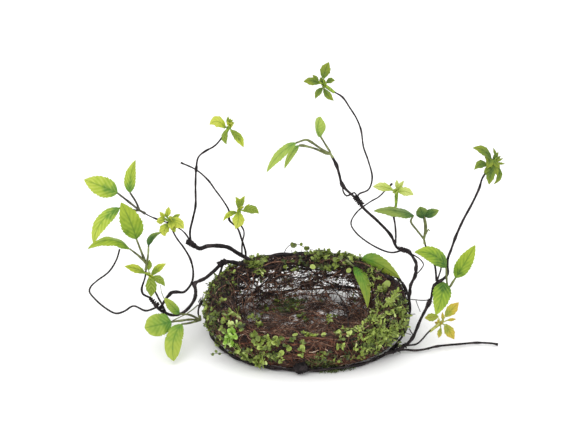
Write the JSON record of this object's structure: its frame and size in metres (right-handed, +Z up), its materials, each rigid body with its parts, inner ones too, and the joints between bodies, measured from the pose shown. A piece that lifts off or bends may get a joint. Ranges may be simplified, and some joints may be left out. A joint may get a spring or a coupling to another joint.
{
  "type": "twig nest with baby tears and leafy vines",
  "caption": "Low round nest of wound twigs with an open hollow, baby tears on its rim, a vine hoop tied round it and leafy wiry vines rising at both sides.",
  "frame": {"origin": "middle of the underside of the nest's woven floor, on the surface that the nest stands on", "axes": "+Z up, +X to the right and +Y away from a viewer who sees the nest from the front"},
  "size_m": [0.4726, 0.2174, 0.3208],
  "materials": {
    "twig": "dry bark",
    "vine": "dark dry bark",
    "leaf": "printed leaf with toothed edges",
    "young_leaf": "printed leaf, yellow green",
    "baby_tears": "small round leaves"
  },
  "bodies": {
    "root": {"baby_tears_back_left": "baby_tears", "baby_tears_back_right": "baby_tears", "baby_tears_front": "baby_tears", "baby_tears_left": "baby_tears", "baby_tears_left_front": "baby_tears", "baby_tears_right": "baby_tears", "baby_tears_right_front": "baby_tears", "base_hoop": "vine", "nest": "twig", "rim_leaf_inner": "leaf", "rim_leaf_outer": "leaf", "spray_left_foot": "leaf", "spray_left_middle": "leaf", "spray_left_top": "leaf", "spray_right_foot": "leaf", "spray_right_middle": "leaf", "spray_right_top": "leaf", "vine_left_lower": "vine", "vine_left_upper": "vine", "vine_right_lower": "vine", "vine_right_upper": "vine", "whorl_left_inner": "young_leaf", "whorl_left_low": "young_leaf", "whorl_left_top": "young_leaf", "whorl_middle": "young_leaf", "whorl_right_inner": "young_leaf", "whorl_right_low": "young_leaf", "whorl_right_top": "young_leaf", "whorl_top": "young_leaf"}
  },
  "joints": []
}
